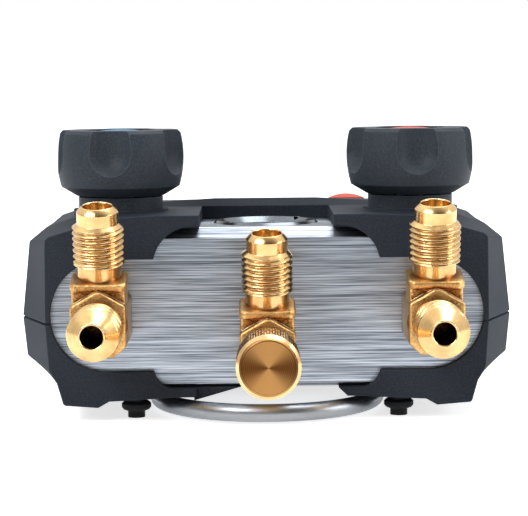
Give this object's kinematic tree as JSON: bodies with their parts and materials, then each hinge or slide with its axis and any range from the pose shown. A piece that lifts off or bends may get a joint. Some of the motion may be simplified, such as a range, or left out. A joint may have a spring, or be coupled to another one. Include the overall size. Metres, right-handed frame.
{
  "type": "refrigerant manifold gauge",
  "caption": "Two-valve digital refrigerant manifold with a brushed valve block, brass flare ports, finger knobs, a sloping display face and a wire hanging hook on its back.",
  "frame": {"origin": "middle of the overall length and width, on the plane the instrument lies on", "axes": "+X to the right seen from the hose ports, +Y from the hose ports to the top end, +Z out of the display side"},
  "size_m": [0.1124, 0.233, 0.0653],
  "materials": {
    "housing": "fine-grained moulded plastic",
    "aluminium": "brushed",
    "steel": "plated",
    "rubber": "matte",
    "glass": "clear",
    "chrome": "polished",
    "brass": "forged and turned",
    "brass_cap": "turned, knurled",
    "brass_turned": "turned",
    "copper": "soft copper",
    "lens": "clear acrylic",
    "display": "liquid crystal display",
    "board": "solder mask",
    "silicone": "silicone",
    "red": "satin",
    "blue": "satin",
    "cell": "sleeved cell",
    "wire": "bright drawn wire",
    "knob": "fine-grained",
    "key": "satin",
    "socket": "satin"
  },
  "bodies": {
    "housing": {"front_shell": "housing", "rear_shell": "housing", "manifold_block": "aluminium", "gallery_plug": "steel", "sight_glass_gasket": "rubber", "sight_glass": "glass", "sight_glass_ring": "chrome", "fitting_left": "brass", "fitting_centre": "brass", "fitting_right": "brass", "fitting_seals": "rubber", "display_window": "lens", "display_module": "display", "circuit_board": "board", "keypad_mat": "silicone", "batteries": "cell", "battery_contacts": "steel", "rear_feet": "rubber", "case_screws": "steel", "block_screws": "steel", "valve_bonnet_left": "brass_turned", "valve_collar_left": "knob", "pressure_sensor_left": "steel", "hook_post_left": "rubber", "probe_socket_left": "socket", "valve_bonnet_right": "brass_turned", "valve_collar_right": "knob", "pressure_sensor_right": "steel", "hook_post_right": "rubber", "probe_socket_right": "socket"},
    "port_cap": {"port_cap": "brass_cap"},
    "cap_seal": {"cap_seal": "copper"},
    "hook": {"hook": "wire"},
    "battery_cover": {"battery_cover": "housing"},
    "power_button": {"power_button": "red"},
    "key_lower_left": {"key_lower_left": "key"},
    "key_lower_middle": {"key_lower_middle": "key"},
    "key_lower_right": {"key_lower_right": "key"},
    "key_upper_left": {"key_upper_left": "key"},
    "key_upper_middle": {"key_upper_middle": "key"},
    "key_upper_right": {"key_upper_right": "key"},
    "knob_left": {"knob_left": "knob", "knob_insert_left": "blue", "knob_screw_left": "steel", "valve_spindle_left": "steel"},
    "plunger_left": {"valve_plunger_left": "brass_turned", "plunger_seal_left": "rubber"},
    "knob_right": {"knob_right": "knob", "knob_insert_right": "red", "knob_screw_right": "steel", "valve_spindle_right": "steel"},
    "plunger_right": {"valve_plunger_right": "brass_turned", "plunger_seal_right": "rubber"}
  },
  "joints": [
    {"name": "knob_left_turn", "type": "hinge", "parent": "housing", "child": "knob_left", "pos_m": [-0.0334, -0.0575, 0.05], "axis": [0, 0, 1], "range_deg": [0, 900]},
    {"name": "plunger_left_lift", "type": "slide", "parent": "housing", "child": "plunger_left", "axis": [0, 0, 1], "range_m": [0, 0.0025]},
    {"name": "knob_right_turn", "type": "hinge", "parent": "housing", "child": "knob_right", "pos_m": [0.0334, -0.0575, 0.05], "axis": [0, 0, 1], "range_deg": [0, 900]},
    {"name": "plunger_right_lift", "type": "slide", "parent": "housing", "child": "plunger_right", "axis": [0, 0, 1], "range_m": [0, 0.0025]},
    {"name": "port_cap_turn", "type": "hinge", "parent": "cap_seal", "child": "port_cap", "pos_m": [0, -0.1165, 0.0178], "axis": [0, -1, 0], "range_deg": [0, 2160]},
    {"name": "port_cap_travel", "type": "slide", "parent": "housing", "child": "cap_seal", "axis": [0, -1, 0], "range_m": [0, 0.00762]},
    {"name": "hook_swing", "type": "hinge", "parent": "housing", "child": "hook", "pos_m": [0, 0.0425, 0.0026], "axis": [1, 0, 0], "range_deg": [0, 180]},
    {"name": "battery_cover_lift", "type": "slide", "parent": "housing", "child": "battery_cover", "axis": [0, 0, -1], "range_m": [0, 0.03]},
    {"name": "key_lower_left_press", "type": "slide", "parent": "housing", "child": "key_lower_left", "axis": [0, -0.0872, -0.9962], "range_m": [0, 0.0008], "stiffness_N_per_m": 900},
    {"name": "key_lower_middle_press", "type": "slide", "parent": "housing", "child": "key_lower_middle", "axis": [0, -0.0872, -0.9962], "range_m": [0, 0.0008], "stiffness_N_per_m": 900},
    {"name": "key_lower_right_press", "type": "slide", "parent": "housing", "child": "key_lower_right", "axis": [0, -0.0872, -0.9962], "range_m": [0, 0.0008], "stiffness_N_per_m": 900},
    {"name": "key_upper_left_press", "type": "slide", "parent": "housing", "child": "key_upper_left", "axis": [0, -0.0872, -0.9962], "range_m": [0, 0.0008], "stiffness_N_per_m": 900},
    {"name": "key_upper_middle_press", "type": "slide", "parent": "housing", "child": "key_upper_middle", "axis": [0, -0.0872, -0.9962], "range_m": [0, 0.0008], "stiffness_N_per_m": 900},
    {"name": "key_upper_right_press", "type": "slide", "parent": "housing", "child": "key_upper_right", "axis": [0, -0.0872, -0.9962], "range_m": [0, 0.0008], "stiffness_N_per_m": 900},
    {"name": "power_button_press", "type": "slide", "parent": "housing", "child": "power_button", "axis": [0, -0.0872, -0.9962], "range_m": [0, 0.0008], "stiffness_N_per_m": 900}
  ],
  "couplings": [
    {"joint": "plunger_left_lift", "follows": "knob_left_turn", "m_per_rad": 0.00015915},
    {"joint": "plunger_right_lift", "follows": "knob_right_turn", "m_per_rad": 0.00015915},
    {"joint": "port_cap_travel", "follows": "port_cap_turn", "m_per_rad": 0.00020213}
  ]
}
